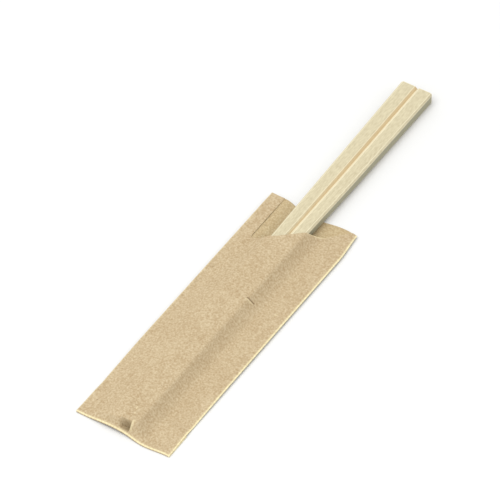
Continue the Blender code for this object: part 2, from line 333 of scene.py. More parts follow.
def add_lamp():
    light = bpy.data.lights.new("soft_lamp", "AREA")
    light.energy = LAMP_WATTS
    light.size = LAMP_SIZE
    lamp = bpy.data.objects.new("soft_lamp", light)
    lamp.location = LAMP_DIRECTION.normalized() * LAMP_DISTANCE
    lamp.rotation_euler = LAMP_DIRECTION.to_track_quat("Z", "Y").to_euler()
    lamp.visible_camera = False
    bpy.context.scene.collection.objects.link(lamp)


def light_surround():
    world = bpy.data.worlds.new("studio")
    world.use_nodes = True
    background = world.node_tree.nodes["Background"]
    background.inputs["Color"].default_value = colour(SURROUND_COLOUR)
    background.inputs["Strength"].default_value = SURROUND_STRENGTH
    bpy.context.scene.world = world
    bpy.context.scene.view_settings.view_transform = "Standard"


add_lamp()
light_surround()
print("lamp:", LAMP_WATTS, "W, surround:", SURROUND_STRENGTH)

# %% Camera
CAMERA_AZIMUTH = math.radians(33.0)
CAMERA_ELEVATION = math.radians(46.5)
CAMERA_DISTANCE = 1.664
CAMERA_TARGET = Vector((-10.2 * MM, -0.2 * MM, 0.0))
NEAR_CLIP_SHARE = 0.1
SENSOR_WIDTH = 36.0
LENS = 360.0


def add_camera():
    level = math.cos(CAMERA_ELEVATION)
    back = Vector((
        math.sin(CAMERA_AZIMUTH) * level,
        -math.cos(CAMERA_AZIMUTH) * level,
        math.sin(CAMERA_ELEVATION),
    ))
    data = bpy.data.cameras.new("camera")
    data.lens = LENS
    data.sensor_width = SENSOR_WIDTH
    data.clip_start = CAMERA_DISTANCE * NEAR_CLIP_SHARE
    camera = bpy.data.objects.new("camera", data)
    camera.location = CAMERA_TARGET + back * CAMERA_DISTANCE
    camera.rotation_euler = back.to_track_quat("Z", "Y").to_euler()
    bpy.context.scene.collection.objects.link(camera)
    bpy.context.scene.camera = camera
    return camera


camera = add_camera()
print("camera at", tuple(round(c, 3) for c in camera.location))

# %% [markdown]
# ## The shape of the paper sleeve
#
# On the real thing one sheet of kraft paper is folded to a flat tube, lapped and glued down the
# middle of the back, turned up at the bottom, and slipped over the sticks. The paper then drapes:
# it lies on the sticks in the middle and slopes down to the back on both sides.
#
# It could be sculpted, or simulated as cloth, but every height on it follows from what lies under
# it. So it is a rule: a flat grid is the sheet, and a Geometry Nodes tree sends each point of the
# grid to its folded place. The next cells write that rule, part by part, as fields. In them x is
# the distance from the sleeve's middle line and y the height above its bottom fold.

# %% How the sticks lie in the sleeve
TIP_HEIGHT = PAIR_LENGTH * math.sin(PAIR_TILT)
RISE_END = TIP_GAP - SLEEVE["clearance"]


def pair_centre(y):
    return (y - TIP_GAP) * -math.tan(PAIR_YAW)


def pair_half_width(y):
    return blend(TIP_WIDTH, BUTT_WIDTH, (y - TIP_GAP) / PAIR_LENGTH) * HALF


def pair_top(y):
    share = (y - TIP_GAP) / PAIR_LENGTH
    underside = TIP_HEIGHT - math.tan(PAIR_TILT) * (y - TIP_GAP)
    return underside + blend(TIP_THICKNESS, BUTT_THICKNESS, share)


print("tips lie", in_mm(TIP_HEIGHT), "mm above the table")

# %% Levels of the paper's layers
CURL_START = 0.8 * MM
LEFT_CURL_RUN, RIGHT_CURL_RUN = 4.5 * MM, 12 * MM
EDGE_LIFT_HALF_WIDTH = 12 * MM
EDGE_REACH = 8 * MM


def outer_level(s, y):
    """Mid-surface of the back's outer layer, which starts on top of the turned-up flap."""
    step = 1 - smooth((y - s.bottom_flap) / s.step_run)
    return s.paper * HALF + LAYERS * s.layer_pitch * step


def front_level(s, y):
    """The front beside the sticks: pressed down on the back at both ends."""
    opening = smooth(y / s.bottom_flap) * smooth((s.length - y) / s.end_close_run)
    return outer_level(s, y) + s.layer_pitch + blend(s.layer_pitch, s.side_gap, opening)


def lift(s, x, y):
    """How far the whole stack is raised: at the side folds, and at the bowed bottom edge."""
    reach = pair_half_width(y) + CURL_START
    left = smooth((pair_centre(y) - reach - x) / LEFT_CURL_RUN)
    right = smooth((x - pair_centre(y) - reach) / RIGHT_CURL_RUN)
    curl = (s.left_lift * left + s.right_lift * right) * smooth(y / s.lift_reach)
    bow = bump(x - pair_centre(y) + TIP_WIDTH * HALF, EDGE_LIFT_HALF_WIDTH) * bump(y, EDGE_REACH)
    return curl + s.edge_lift * bow


print("the turned-up flap has", LAYERS, "layers,", in_mm(SLEEVE["layer_pitch"]), "mm apart")

# %% [markdown]
# The front climbs from the left fold, lies on the sticks, and drops to the back on their right. At
# the bottom it has to come down before the tips, and there it is crushed to a small hollow with a
# ridge beside it.

# %% Drape of the front over the sticks
LEFT_SLOPE_START = 1 * MM
RIGHT_SLOPE_RUN = 5 * MM
SLOPE_POWER = 1.6
RISE_ROUNDING_SHARE = 0.22
CREST_ROUNDING_SHARE = 0.09


def rounded_ramp(value, rounding):
    """Rises from 0 to 1 in a straight line whose two ends are rounded."""
    early = value.over(0.0, rounding) ** 2 * rounding * HALF
    late = value.over(1 - rounding, 1.0, low=1.0, high=0.0) ** 2 * rounding * HALF
    middle = value.over(rounding, 1 - rounding) * (1 - 2 * rounding)
    return (early + middle + rounding * HALF - late) / (1 - rounding)


def front_cover(s, x, y):
    """1 where the front lies on the sticks and 0 where it lies on the back."""
    near_fold = LEFT_SLOPE_START - s.width * HALF
    slit_x = s.strip_width - s.width * HALF
    start = blend(near_fold, slit_x, smooth(y * 2 / (s.length - s.mouth_depth) - 1))
    left_end = pair_centre(y) - pair_half_width(y) + EDGE_CHAMFER * HALF
    crest = pair_centre(y) + pair_half_width(y) - EDGE_CHAMFER * HALF
    rise = rounded_ramp((x - start) / (left_end - start), RISE_ROUNDING_SHARE)
    run = (x - crest) / RIGHT_SLOPE_RUN
    run = (run + (run ** 2 + CREST_ROUNDING_SHARE ** 2) ** HALF) * HALF
    fall = (1 - run.over(0.0, 1.0)) ** SLOPE_POWER
    return rise * fall * smooth(y / RISE_END)


# %% Hollow, ridge and height of the front
DENT_X, DENT_Y = 1.2 * MM, 1.8 * MM
DENT_LEFT_RUN, DENT_RIGHT_RUN = 4.4 * MM, 0.8 * MM
DENT_WALL = 2.4
RIDGE_X, RIDGE_HALF_WIDTH = 2.4 * MM, 0.9 * MM
RIDGE_Y, RIDGE_REACH = 1.4 * MM, 1.5 * MM
BULGE_PLACE = BULGE_HALF_WIDTH = 8.5 * MM


def dent(x, y):
    """1 in the small hollow before the tips, whose right wall is the steep one."""
    run = blend(DENT_LEFT_RUN, DENT_RIGHT_RUN, x > DENT_X)
    across = (bump(x - DENT_X, run) * DENT_WALL).math("MINIMUM", 1.0)
    reach = blend(DENT_Y, RISE_END - DENT_Y, y > DENT_Y)
    return across * (bump(y - DENT_Y, reach) * DENT_WALL).math("MINIMUM", 1.0)


def ridge(s, x, y):
    """The paper that the hollow's steep wall pushes up beside it."""
    return s.ridge_height * bump(x - RIDGE_X, RIDGE_HALF_WIDTH) * bump(y - RIDGE_Y, RIDGE_REACH)


def bulge(s, x, y):
    """How far the bottom fold stands out past its straight line, on the right."""
    return s.edge_bulge * bump(x - BULGE_PLACE, BULGE_HALF_WIDTH) * bump(y, EDGE_REACH)


def front_height(s, x, y):
    low = front_level(s, y) + lift(s, x, y)
    high = pair_top(y) + s.clearance + s.paper * HALF
    cover = front_cover(s, x, y) * (1 - s.dent_share * dent(x, y))
    return blend(low, high, cover) + ridge(s, x, y)


print("hollow:", in_mm(DENT_LEFT_RUN + DENT_RIGHT_RUN), "by", in_mm(RISE_END), "mm")

# %% [markdown]
# The mouth is a line across the front: a slit runs down beside the left fold, turns a small
# corner, and then a wide arc swings up into a straight slant that ends at the right fold. It is
# written as the height of the paper's edge at each x, so the grid's rows can end on it exactly.

# %% Line of the mouth
QUARTER_TURN = math.pi / 2


def mouth_lines(s):
    """The x of the slit, of the corner's foot, and of where the arc is as high as the slit's end."""
    slit = s.strip_width - s.width * HALF
    foot = slit + s.corner_radius
    rise = s.sweep_radius - s.corner_radius
    return slit, foot, foot + (s.sweep_radius ** 2 - rise ** 2) ** HALF


def mouth_edge(s, x, fold):
    _, foot, _ = mouth_lines(s)
    low = s.length - s.mouth_depth
    corner_fall = (s.corner_radius ** 2 - (foot - x) ** 2).over(0.0, 1.0) ** HALF
    corner = low + s.corner_radius - corner_fall
    span, height = fold - foot, s.mouth_depth - s.sweep_radius
    reach = (span ** 2 + height ** 2) ** HALF
    slant = height.math("ARCTAN2", span) + QUARTER_TURN
    slant = slant - (s.sweep_radius / reach).math("ARCCOSINE")
    arc = (s.sweep_radius ** 2 - (x - foot) ** 2).over(0.0, 1.0) ** HALF
    arc = low + s.sweep_radius - arc
    straight = s.length - (fold - x) * slant.math("TANGENT")
    past_arc = (x - foot) > s.sweep_radius * slant.math("SINE")
    return blend(corner, blend(arc, straight, past_arc), x > foot)


print("mouth:", in_mm(SLEEVE["mouth_depth"]), "mm deep")

# %% Sag of the open end
LEFT_SAG, LEFT_SAG_START, LEFT_SAG_RUN = 0.7 * MM, -11 * MM, 4.6 * MM
RIGHT_SAG, RIGHT_SAG_LEAST = 0.95 * MM, 0.35 * MM
RIGHT_BOW_X, RIGHT_BOW_RUN = 10.9 * MM, 6.9 * MM
SAG_CHANGE_X, SAG_CHANGE_RUN = -6 * MM, 9 * MM


def end_sag(x):
    """How far the sheet's cut end hangs below the sleeve's full length at each x."""
    left = ((x - LEFT_SAG_START) / LEFT_SAG_RUN).over(0.0, 1.0) ** 2 * LEFT_SAG
    bow = ((x - RIGHT_BOW_X) / RIGHT_BOW_RUN).over(-1.0, 1.0, low=-1.0) ** 2 * RIGHT_SAG
    return blend(left, RIGHT_SAG_LEAST + bow, smooth((x - SAG_CHANGE_X) / SAG_CHANGE_RUN))


# %% [markdown]
# ## Columns and rows of the grid
#
# Walking across the sheet we pass the inner back, the left fold, the front, the right fold and the
# outer back. Walking up it we pass the turned-up flap, the bottom fold, the body and the mouth.
# Each stretch gets its own number of columns or rows, so the folds are round and the front is
# fine, while the hidden back stays coarse.

# %% Stretches of the sheet
COLUMNS = {"inner": 20, "left": 8, "strip": 13, "corner": 7, "sweep": 10, "front": 76,
           "right": 8, "outer": 18}
ROWS = {"flap": 7, "fold": 8, "lower": 224, "upper": 44}
ROW_SPREAD_SHARE = 0.3


def stretches(counts, coordinate):
    """For each stretch, how far the coordinate is through it, from 0 to 1."""
    through, start = {}, 0
    for name, count in counts.items():
        through[name] = coordinate.over(start, start + count)
        start += count
    return SimpleNamespace(**through)


print("grid:", sum(COLUMNS.values()), "columns,", sum(ROWS.values()), "rows")

# %% Place across the sleeve
def half_circle(share, operation):
    return (share * math.pi).math(operation)


def turn_share(share):
    """How far across a fold's half circle a point has come, from 0 to 1."""
    return (1 - half_circle(share, "COSINE")) * HALF


def panel_end(s, side, y):
    """Where a panel stops and its side fold starts, and the fold's radius."""
    back = outer_level(s, y) + (s.layer_pitch if side < 0 else 0.0)
    radius = (front_level(s, y) - back) * HALF
    pull = s.side_pull * smooth(y / s.bottom_flap) + radius
    if side > 0:
        pull = pull + s.mouth_pull * smooth(1 - (s.length - y) / s.mouth_pull_reach)
    return ((s.width - s.paper) * HALF - pull) * side, radius


def across_place(s, t, y):
    """The x of a grid point, once its height y on the sleeve is known."""
    left, left_radius = panel_end(s, -1, y)
    right, right_radius = panel_end(s, 1, y)
    slit, foot, sweep = mouth_lines(s)
    lap = s.seam_lap * HALF
    x = lap + (left - lap) * t.inner - left_radius * half_circle(t.left, "SINE")
    x = x + (slit - left) * t.strip + (foot - slit) * t.corner + (sweep - foot) * t.sweep
    x = x + (right - sweep) * t.front
    return x + right_radius * half_circle(t.right, "SINE") - (lap + right) * t.outer


# %% [markdown]
# Real paper over wood is never quite even. Two noises move the front by a tenth or two of a
# millimetre: slow waves where the paper is damp-stretched, and short crumples near the hollow.

# %% Unevenness of the front
WAVE_SIZE, WAVE_SEED = 11 * MM, 3
CRUMPLE_SIZE, CRUMPLE_SEED = 2.2 * MM, 8
CRUMPLE_DEPTH = 0.22 * MM
CRUMPLE_REACH = 9 * MM
CRUMPLE_X = -1 * MM


def height_noise(x, y, size, seed, detail):
    """Smooth noise from -1 to 1 whose waves are about size long."""
    parts = {0: x / size, 1: y / size, 2: float(seed)}
    at = add_node(x.tree, "ShaderNodeCombineXYZ", parts).outputs[0]
    values = {"Vector": at, "Scale": 1.0, "Detail": detail}
    made = add_node(x.tree, "ShaderNodeTexNoise", values)
    return (Field(x.tree, made.outputs[0]) - HALF) * 2


def unevenness(s, x, y):
    waves = height_noise(x, y, WAVE_SIZE, WAVE_SEED, detail=2.0) * s.cockle_depth
    crumple = height_noise(x, y, CRUMPLE_SIZE, CRUMPLE_SEED, detail=1.0) * CRUMPLE_DEPTH
    near = bump(x - CRUMPLE_X, CRUMPLE_REACH) * bump(y - RISE_END * HALF, CRUMPLE_REACH * HALF)
    ends = smooth(y / RISE_END) * smooth((s.length - y) / s.end_close_run)
    return (waves + crumple * near) * ends


print("waves", in_mm(WAVE_SIZE), "mm long, crumples", in_mm(CRUMPLE_SIZE), "mm")

# %% [markdown]
# ## Folding the sheet
#
# Now the rule is put together. For each point of the grid the tree finds its height on the sleeve,
# its x, its level, and last the turn round the bottom fold. The paper's own flat coordinates are
# kept as an attribute, so that the fibres of the finish follow the sheet round its folds, and so is
# the pale rim on a fold or a cut edge, which is partly wear and partly painted highlight.

# %% Wear and painted highlight on the folds and the cut edge
RIM_WIDTH = 0.4 * MM
HIGHLIGHT_TURN_SHARES = (0.5, 0.8)
LEFT_RIM_SHARE = 0.3
CUT_HIGHLIGHT_X, CUT_HIGHLIGHT_REACH = 6.5 * MM, 4.5 * MM


def rim(distance):
    """1 on an edge and 0 from the rim's width away."""
    return (1 - distance / RIM_WIDTH).over(0.0, 1.0)


# %% Fold one point
FOLD_LEVELS = 2 * LAYERS - 1


def folded_place(s, t, r, in_front):
    """The place of a grid point, its place on the flat sheet, and its pale rim of wear and painted
    highlight.
    """
    low = s.length - s.mouth_depth
    slit_end = low + s.corner_radius
    x_at_slit = across_place(s, t, slit_end)
    edge = mouth_edge(s, x_at_slit, panel_end(s, 1, s.length)[0])
    back_top = s.length - end_sag(x_at_slit)
    top = blend(back_top, edge.math("MINIMUM", back_top), in_front)
    shoulder = top.math("MINIMUM", slit_end)
    value = slit_end * blend(r.lower, r.lower ** 2, ROW_SPREAD_SHARE)
    y = value - (slit_end - shoulder) * smooth(value * 2 / slit_end - 1)
    y = blend(y, top, r.upper)
    x = across_place(s, t, y)
    left, right = panel_end(s, -1, y)[0], panel_end(s, 1, y)[0]
    on_panel = x.math("MAXIMUM", left).math("MINIMUM", right)
    stack = lift(s, on_panel, y)
    inner = outer_level(s, y) + s.layer_pitch + stack
    front = front_height(s, on_panel, y) + unevenness(s, on_panel, y)
    level = blend(inner, front, turn_share(t.left))
    level = blend(level, outer_level(s, y) + stack, turn_share(t.right))
    flap = s.bottom_flap * (1 - r.flap)
    turn = (1 - r.fold) * math.pi
    centre = s.paper * HALF + FOLD_LEVELS * s.layer_pitch * HALF
    radius = level - centre - stack
    height = centre + lift(s, on_panel, y + flap) + radius * turn.math("COSINE")
    along = y + flap - radius * turn.math("SINE") - bulge(s, on_panel, y + flap)
    flat_across = blend(blend(left * 2 - x, x, t.left), right * 2 - x, t.right)
    # The pale rim, wear and painted highlight: on the side folds, on the upper part of the bottom
    # fold where light catches it, and, as painted highlight only, on the cut edge right of the
    # sticks.
    worn_and_highlight = rim(right - on_panel).math("MAXIMUM", rim(on_panel - left) * LEFT_RIM_SHARE)
    worn_and_highlight = worn_and_highlight.math("MAXIMUM", rim(y + flap) * r.fold.over(*HIGHLIGHT_TURN_SHARES))
    cut_edge_highlight = rim(top - y) * in_front * bump(on_panel - CUT_HIGHLIGHT_X, CUT_HIGHLIGHT_REACH)
    return (x, along, height), (flat_across, y - flap, height), worn_and_highlight.math("MAXIMUM", cut_edge_highlight)


# %% [markdown]
# So far the sheet has no thickness. It is pushed in by half the paper, extruded by the whole of
# it, and its inner side is put back, so that the sleeve is a closed shell with a real cut edge.
# The outer side is marked, because it has another tone than the inside.

# %% Give the sheet its thickness
SAME_PLACE = 1e-7


def thicken(tree, sheet, paper):
    """The sheet as a closed shell, with its outer side marked as outside."""
    normal = add_node(tree, "GeometryNodeInputNormal").outputs[0]
    inward = add_node(
        tree, "ShaderNodeVectorMath", {0: normal, "Scale": paper * -HALF}, operation="SCALE"
    )
    inner = add_node(
        tree, "GeometryNodeSetPosition", {"Geometry": sheet, "Offset": inward.outputs[0]}
    ).outputs[0]
    inputs = {"Mesh": inner, "Offset Scale": paper, "Individual": False}
    outer = add_node(tree, "GeometryNodeExtrudeMesh", inputs, mode="FACES")
    inputs = {"Geometry": outer.outputs["Mesh"], "Name": "outside", "Value": outer.outputs["Top"]}
    shell = add_node(
        tree, "GeometryNodeStoreNamedAttribute", inputs, data_type="FLOAT", domain="FACE"
    )
    lining = add_node(tree, "GeometryNodeFlipFaces", {"Mesh": inner})
    joined = add_node(tree, "GeometryNodeJoinGeometry")
    for part in (shell, lining):
        tree.links.new(part.outputs[0], joined.inputs[0])
    values = {"Geometry": joined.outputs[0], "Distance": SAME_PLACE}
    return add_node(tree, "GeometryNodeMergeByDistance", values).outputs[0]


# %% Build the sleeve's tree
SAME_SHARE = 1e-4
# Where the painted shade of the hollow sits, and how it darkens to the right.
HOLLOW_SHADE_SHIFT = 0.3 * MM
HOLLOW_SHADE_RISE = 1.2


def folded_sleeve_tree(values):
    tree, _, s = open_tree("folded_sleeve", values)
    columns, rows = sum(COLUMNS.values()), sum(ROWS.values())
    sizes = {"Size X": 1.0, "Size Y": 1.0, "Vertices X": columns + 1, "Vertices Y": rows + 1}
    grid = add_node(tree, "GeometryNodeMeshGrid", sizes)
    point = add_node(tree, "GeometryNodeInputPosition").outputs[0]
    parts = add_node(tree, "ShaderNodeSeparateXYZ", {0: point})
    across, up, _ = [Field(tree, part) for part in parts.outputs]
    t = stretches(COLUMNS, (across + HALF) * columns)
    r = stretches(ROWS, (up + HALF) * rows)
    in_mouth = (t.corner > SAME_SHARE) * (t.front < SAME_SHARE) * (r.upper > SAME_SHARE)
    cut = {"Geometry": grid.outputs[0], "Selection": in_mouth}
    sheet = add_node(tree, "GeometryNodeDeleteGeometry", cut, domain="FACE").outputs[0]
    in_front = (t.corner > SAME_SHARE) * (t.right < SAME_SHARE)
    place, flat, worn_and_highlight = folded_place(s, t, r, in_front)
    place, on_sheet = [
        add_node(tree, "ShaderNodeCombineXYZ", dict(enumerate(xyz))).outputs[0]
        for xyz in (place, flat)
    ]
    # Painted shade in the hollow before the tips: darker towards its steep right wall, and set a
    # little higher than the hollow.
    hollow_shade = ((flat[0] + DENT_LEFT_RUN) / DENT_LEFT_RUN).over(0.0, HOLLOW_SHADE_RISE)
    hollow_shade = hollow_shade * dent(flat[0], flat[1] - HOLLOW_SHADE_SHIFT)
    for name, value, kind in (("sheet", on_sheet, "FLOAT_VECTOR"), ("worn_and_highlight", worn_and_highlight, "FLOAT"),
                              ("hollow_shade", hollow_shade, "FLOAT")):
        inputs = {"Geometry": sheet, "Name": name, "Value": value}
        kept = add_node(tree, "GeometryNodeStoreNamedAttribute", inputs, data_type=kind)
        sheet = kept.outputs[0]
    moved = {"Geometry": sheet, "Position": place}
    sheet = add_node(tree, "GeometryNodeSetPosition", moved).outputs[0]
    close_tree(tree, thicken(tree, sheet, s.paper), s.material)
    return tree


# %% [markdown]
# ## Kraft paper
#
# Unbleached kraft is brown wood pulp, pressed and left unprinted, so it is matt and slightly
# cloudy: the pulp is thicker in some places than in others. Up close it shows short fibres, a few
# of them darker or paler. On its folds and at its cut edge the surface is rubbed paler, and there
# it is also painted paler as highlight where light catches it. The small hollow before the tips is
# painted darker as shade. The inside of the sheet is a little yellower than the outside.
#
# A scanned picture could be wrapped round the sleeve, but it would repeat and blur up close. So
# clouds, pulp and fibres are noises and the marks are lines, read on the flat sheet's own
# coordinates, while the pale rims of wear and painted highlight, and the painted shade of the
# hollow, come with the folded sheet. Clouds and pulp have their real sizes. A real fibre is about
# 0.03 mm wide; it is drawn four times as wide, because a finer one wouldn't show.

# %% Noise on a surface
def texture(tree, vector, size, detail=2.0, stretch=1.0, turn=0.0):
    """Noise from 0 to 1 whose waves are size wide, and stretch times as long along y."""
    scale = [1 / size, 1 / (size * stretch), 1 / size]
    turned = add_node(tree, "ShaderNodeVectorRotate", {"Vector": vector, "Angle": turn})
    sized = add_node(tree, "ShaderNodeMapping", {"Vector": turned.outputs[0], "Scale": scale})
    values = {"Vector": sized.outputs[0], "Scale": 1.0, "Detail": detail}
    return Field(tree, add_node(tree, "ShaderNodeTexNoise", values).outputs[0])


def painted(tree, base, layers):
    """The base colour with tones mixed over it in order. A layer is (share, tone)."""
    for share, tone in layers:
        tone = colour(tone) if isinstance(tone, str) else tone
        inputs = {0: share, 6: base, 7: tone}
        base = add_node(tree, "ShaderNodeMix", inputs, data_type="RGBA").outputs[2]
    return base


# %% Sizes and colours of the paper
PULP_CLOUD = 7 * MM
PULP_GRAIN = 0.65 * MM
CLOUD_SHARE = 0.16
MOTTLE_RANGE = (0.3, 0.7)
FIBRE_WIDTH = 0.12 * MM
FIBRE_LENGTH = 1.4 * MM
FIBRE_TURNS = (-0.9, 0.15, 1.1)
FIBRE_RANGE = (0.66, 0.74)
DARK_FIBRE_SHARE, PALE_FIBRE_SHARE = 0.4, 0.3
FIBRE_RELIEF = {"Strength": 0.4, "Distance": 0.02 * MM}
OUTSIDE = ("#BFAF90", "#9D8664")
INSIDE = ("#BFAF8C", "#9F8862")
# Pale rims and pale lines: wear, and painted highlight where light catches them.
WORN_AND_HIGHLIGHT, WORN_AND_HIGHLIGHT_SHARES = "#E6DBB0", (0.9, 0.55)
# Painted shade of the hollow before the tips.
HOLLOW_SHADE, HOLLOW_SHADE_SHARE = "#6E5D40", 0.65
FLECK_AND_CREASE_SHADE = "#6A5336"
PALE_FIBRE = "#D9C7A4"
KRAFT_SURFACE = {"Roughness": 0.85, "Specular IOR Level": 0.25}

# %% [markdown]
# A sleeve that has been handled has a few short creases: one deep one across the crest, whose dark
# line is painted shade; some small dark nicks; and pale lines where the paper's skin was pushed up,
# one of them painted highlight on the lit ridge beside the hollow. Each group has a strength and a
# tone, and each mark in it is a line on the flat sheet, given by its two ends and its width in
# millimetres.

# %% Marks on the paper
MARKS = [
    # Painted shade: the dark line of the deep crease across the crest.
    (0.85, FLECK_AND_CREASE_SHADE, [((3.2, 68.5), (5.4, 68.9), 0.42)]),
    (0.45, FLECK_AND_CREASE_SHADE, [((-23.8, 102.0), (-23.6, 102.2), 0.5), ((-15.6, 76.4), (-15.5, 76.6), 0.45),
                   ((-14.6, 6.9), (-14.4, 7.1), 0.4), ((-16.7, 67.3), (-16.1, 67.9), 0.25)]),
    (0.35, WORN_AND_HIGHLIGHT, [((3.1, 67.8), (5.2, 68.2), 0.3), ((13.3, 69.7), (13.9, 70.0), 0.4),
                  ((-0.3, 8.8), (0.0, 8.0), 0.3), ((0.5, 6.4), (0.7, 6.0), 0.3),
                  # Painted highlight on the lit ridge beside the hollow.
                  ((2.4, 1.2), (2.2, 3.4), 0.7)]),
]


def mark(x, y, start, end, width):
    """1 on a short line on the flat sheet and 0 past its width."""
    (x0, y0), (x1, y1) = [[c * MM for c in point] for point in (start, end)]
    span, rise = x1 - x0, y1 - y0
    along = ((x - x0) * span + (y - y0) * rise) / (span ** 2 + rise ** 2)
    along = along.over(0.0, 1.0)
    square = (x - x0 - along * span) ** 2 + (y - y0 - along * rise) ** 2
    return smooth(1 - square ** HALF / (width * MM))


def marks(tree, sheet, lines):
    """1 on any of several short lines."""
    parts = add_node(tree, "ShaderNodeSeparateXYZ", {0: sheet})
    x, y, _ = [Field(tree, part) for part in parts.outputs]
    total = mark(x, y, *lines[0])
    for line in lines[1:]:
        total = total.math("MAXIMUM", mark(x, y, *line))
    return total


print(sum(len(lines) for _, _, lines in MARKS), "marks on the paper")

# %% Finish of the paper
def kraft_paper():
    material, tree, shader = new_material("unbleached_kraft_paper", KRAFT_SURFACE)
    sheet, outside, hollow_shade, worn_and_highlight = [
        add_node(tree, "ShaderNodeAttribute", attribute_name=name).outputs[output]
        for name, output in (("sheet", "Vector"), ("outside", "Fac"), ("hollow_shade", "Fac"),
                             ("worn_and_highlight", "Fac"))
    ]
    cloud = texture(tree, sheet, PULP_CLOUD).over(*MOTTLE_RANGE)
    grain = texture(tree, sheet, PULP_GRAIN, detail=3.0).over(*MOTTLE_RANGE)
    mottle = cloud * CLOUD_SHARE + grain * (1 - CLOUD_SHARE)
    inner_side, outer_side = [
        painted(tree, colour(pale), [(mottle, dark)]) for pale, dark in (INSIDE, OUTSIDE)
    ]
    stretch = FIBRE_LENGTH / FIBRE_WIDTH
    fibres = [
        texture(tree, sheet, FIBRE_WIDTH, detail=1.0, stretch=stretch, turn=turn)
        for turn in FIBRE_TURNS
    ]
    paper = painted(tree, inner_side, [
        (outside, outer_side),
        (fibres[0].over(*FIBRE_RANGE) * DARK_FIBRE_SHARE, FLECK_AND_CREASE_SHADE),
        (fibres[1].over(*FIBRE_RANGE) * PALE_FIBRE_SHARE, PALE_FIBRE),
        *[(marks(tree, sheet, lines) * share, tone) for share, tone, lines in MARKS],
        # Painted shade in the hollow before the tips.
        (Field(tree, hollow_shade) * HOLLOW_SHADE_SHARE, HOLLOW_SHADE),
        # Pale rims: wear and painted highlight.
        (Field(tree, worn_and_highlight) * blend(*WORN_AND_HIGHLIGHT_SHARES, grain), WORN_AND_HIGHLIGHT),
    ])
    tree.links.new(paper, shader["Base Color"])
    felt = fibres[0] + fibres[1] + fibres[2]
    relief = add_node(tree, "ShaderNodeBump", {"Height": felt, **FIBRE_RELIEF})
    tree.links.new(relief.outputs[0], shader["Normal"])
    print(material.name, "has", len(tree.nodes), "nodes")
    return material


# %% Make the sleeve
SMOOTH_ANGLE = math.radians(40)


def make_sleeve():
    values = {**SLEEVE, "material": kraft_paper()}
    tree = folded_sleeve_tree(values)
    mesh = plain_mesh(run_tree(tree, values, bpy.data.meshes.new("start")))
    mesh.transform(Matrix.Translation((0.0, SLEEVE_FOOT, 0.0)))
    mesh.shade_smooth()
    mesh.set_sharp_from_angle(angle=SMOOTH_ANGLE)
    sleeve = add_object("folded_paper_sleeve", mesh)
    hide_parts("paper_sleeve")
    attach(sleeve, "root")
    return sleeve


sleeve = make_sleeve()
corners = [sleeve.matrix_world @ Vector(c) for c in sleeve.bound_box]
print("sleeve:", len(sleeve.data.polygons), "faces",
      [tuple(in_mm(f(c[i] for c in corners)) for i in range(3)) for f in (min, max)],
      "solid:", [tuple(in_mm(c) for c in p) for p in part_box("paper_sleeve")])

# %% [markdown]
# ## Planed aspen
#
# The sticks are sawn from one strip of aspen, a pale, soft, even wood, and left bare. The two flats
# and the chamfers are planed, so they are matt and nearly white, with a fine mottle drawn out along
# the grain. The sides are sawn, so they are duller, and they are painted darker still as shade. The
# groove is pressed and cut by a shaped knife, which leaves it warmer, and its right-facing facet is
# painted darker as shade towards its bottom. Every edge is a little furry and pale, and the rounded
# edges and the left-facing facets are painted paler as highlight.
#
# Each kind of face could have a material of its own, but then the grain would break where they
# meet. So one material serves all of them: each kind of face is marked with an attribute, and the
# tones are mixed by those marks. Aspen's vessels are about 0.07 mm wide; they are drawn twice as
# wide, because finer ones wouldn't show.

# %% Sizes and colours of the wood
GRAIN_WIDTH, GRAIN_STRETCH = 0.5 * MM, 4.0
STREAK_WIDTH, STREAK_STRETCH = 0.6 * MM, 40.0
STREAK_SHARE = 0.25
VESSEL_WIDTH, VESSEL_STRETCH = 0.14 * MM, 9.0
VESSEL_RANGE = (0.64, 0.76)
GRAIN_RELIEF = {"Strength": 0.3, "Distance": 0.04 * MM}
WOOD = ("#C8BFA1", "#AFA486")
VESSEL, VESSEL_SHARE = "#9C8F6C", 0.22
FACET_TONES = {
    # Sawn sides: duller wood, and painted shade.
    "sawn": (0.75, "#8B8974"),
    # The groove's right-facing facet: warmer cut wood, and painted shade darkest at its bottom.
    "groove": (0.75, "#BC9F72"),
    "end": (0.6, "#A39474"),
    # Rounded edges and left-facing facets: furry pale wood, and painted highlight.
    "edge": (0.7, "#DDD5B8"),
}
ASPEN_SURFACE = {"Roughness": 0.62, "Specular IOR Level": 0.3}


# %% Finish of the wood
def planed_aspen():
    material, tree, shader = new_material("planed_aspen", ASPEN_SURFACE)
    place = add_node(tree, "ShaderNodeTexCoord").outputs["Object"]
    fine = texture(tree, place, GRAIN_WIDTH, detail=3.0, stretch=GRAIN_STRETCH)
    fine = fine.over(*MOTTLE_RANGE)
    streak = texture(tree, place, STREAK_WIDTH, detail=2.0, stretch=STREAK_STRETCH)
    streak = streak.over(*MOTTLE_RANGE)
    vessels = texture(tree, place, VESSEL_WIDTH, detail=1.0, stretch=VESSEL_STRETCH)
    vessels = vessels.over(*VESSEL_RANGE)
    layers = [
        (fine * (1 - STREAK_SHARE) + streak * STREAK_SHARE, WOOD[1]),
        (vessels * VESSEL_SHARE, VESSEL),
    ]
    for name, (strength, tone) in FACET_TONES.items():
        facet = add_node(tree, "ShaderNodeAttribute", attribute_name=name).outputs["Fac"]
        layers.append((Field(tree, facet) * strength, tone))
    tree.links.new(painted(tree, colour(WOOD[0]), layers), shader["Base Color"])
    relief = add_node(tree, "ShaderNodeBump", {"Height": fine + vessels, **GRAIN_RELIEF})
    tree.links.new(relief.outputs[0], shader["Normal"])
    print(material.name, "has", len(tree.nodes), "nodes")
    return material


